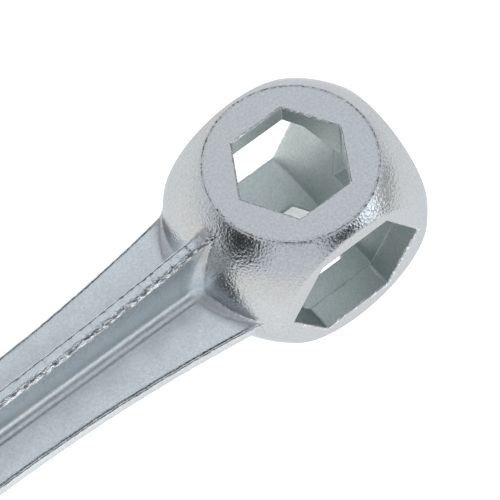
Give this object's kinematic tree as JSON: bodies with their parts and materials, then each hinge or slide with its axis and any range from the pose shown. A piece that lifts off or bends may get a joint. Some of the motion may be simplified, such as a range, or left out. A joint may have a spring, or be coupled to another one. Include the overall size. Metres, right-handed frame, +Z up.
{
  "type": "bone wrench",
  "caption": "Small forged steel bone wrench: a ball head with hexagon sockets in its flat faces at each end of a cross-ribbed shank, bright zinc plated.",
  "frame": {"origin": "on the surface that the wrench rests on, under the middle of the shank", "axes": "+X along the shank towards the head with the larger sockets, +Z up from the bench, +Y towards that head's largest socket"},
  "size_m": [0.105, 0.02, 0.02],
  "materials": {
    "zinc_plate": "bright bluish zinc plating over a fine-grained forged surface"
  },
  "bodies": {
    "root": {"near_head": "zinc_plate", "far_head": "zinc_plate", "shank_core": "zinc_plate", "top_rib": "zinc_plate", "front_rib": "zinc_plate", "bottom_rib": "zinc_plate", "back_rib": "zinc_plate"}
  },
  "joints": []
}
